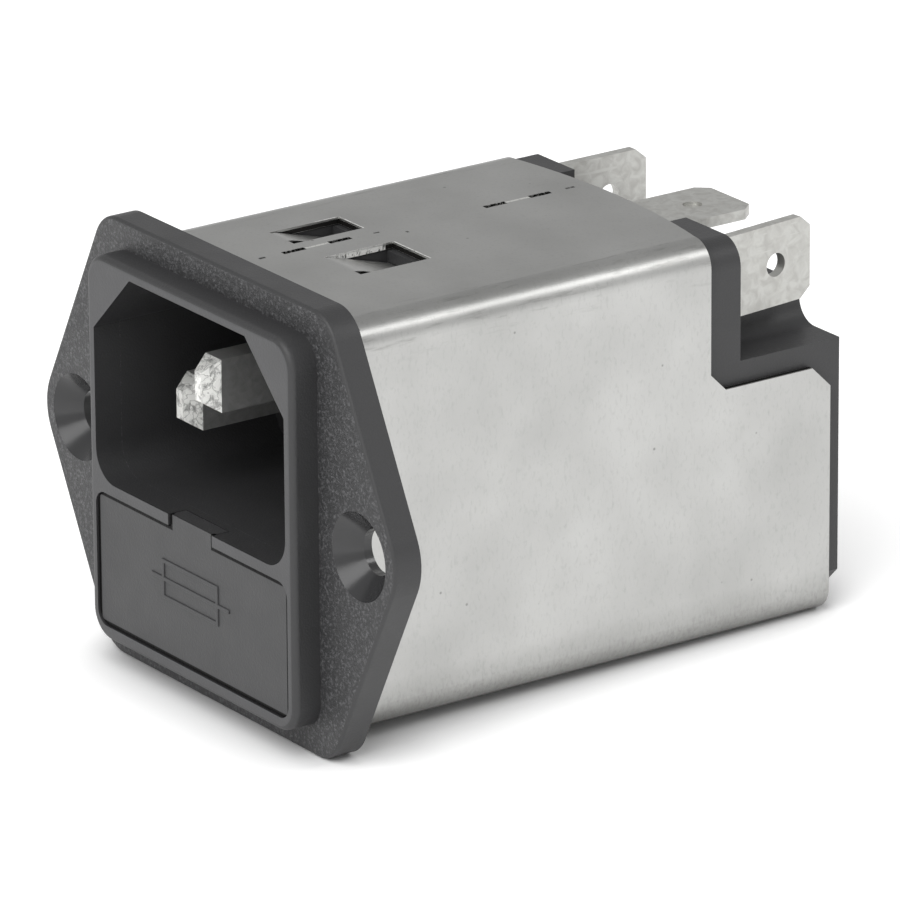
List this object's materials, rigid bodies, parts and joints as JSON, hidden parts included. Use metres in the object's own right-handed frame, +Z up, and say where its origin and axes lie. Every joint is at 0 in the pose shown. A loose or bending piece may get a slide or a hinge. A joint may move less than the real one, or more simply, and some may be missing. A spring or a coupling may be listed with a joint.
{
  "type": "power entry module",
  "caption": "Mains inlet with a screw flange, a pull-out fuse drawer under the socket, a folded steel shield can and quick-connect tabs at the back.",
  "frame": {"origin": "midway between the two fixing holes, on the back face of the flange, which lies on the panel", "axes": "-Y out of the inlet towards the mains lead, +Y back into the equipment, +Z up with the fuse drawer below the inlet, +X from the neutral pin to the line pin"},
  "size_m": [0.0448, 0.0485, 0.0336],
  "materials": {
    "black_thermoplastic": "moulded, fine spark-eroded grain on the flange",
    "drawer_thermoplastic": "moulded, fine grain",
    "tinned_steel": "hot tinned, satin with faint mottling",
    "tinned_strip": "tinned",
    "plated_brass": "nickel plated",
    "tinned_brass": "tin plated, light scuffs",
    "contact_bronze": "rolled spring strip",
    "board_laminate": "pressed laminate",
    "ferrite": "sintered",
    "enamelled_copper": "enamelled wire",
    "capacitor_box": "moulded box",
    "ceramic_disc": "dipped",
    "resistor_coat": "lacquered",
    "fuse_glass": "clear drawn tube",
    "fuse_cap": "nickel plated, pressed",
    "fuse_wire": "tinned wire"
  },
  "bodies": {
    "housing": {"front_housing": "black_thermoplastic", "rear_insulator": "black_thermoplastic", "shield_can": "tinned_steel", "earth_strap": "tinned_strip", "line_pin": "plated_brass", "neutral_pin": "plated_brass", "earth_pin": "plated_brass", "line_tab": "tinned_brass", "neutral_tab": "tinned_brass", "earth_tab": "tinned_brass", "line_front_clip": "contact_bronze", "line_rear_clip": "contact_bronze", "neutral_front_clip": "contact_bronze", "neutral_rear_clip": "contact_bronze", "filter_board": "board_laminate", "choke_core": "ferrite", "line_winding": "enamelled_copper", "neutral_winding": "enamelled_copper", "x_capacitor": "capacitor_box", "line_y_capacitor": "ceramic_disc", "neutral_y_capacitor": "ceramic_disc", "discharge_resistor": "resistor_coat"},
    "fuse_drawer": {"fuse_drawer": "drawer_thermoplastic", "line_fuse_tube": "fuse_glass", "line_fuse_caps": "fuse_cap", "line_fuse_wire": "fuse_wire", "neutral_fuse_tube": "fuse_glass", "neutral_fuse_caps": "fuse_cap", "neutral_fuse_wire": "fuse_wire"}
  },
  "joints": [
    {"name": "drawer_slide", "type": "slide", "parent": "housing", "child": "fuse_drawer", "axis": [0, -1, 0], "range_m": [0, 0.024]}
  ]
}
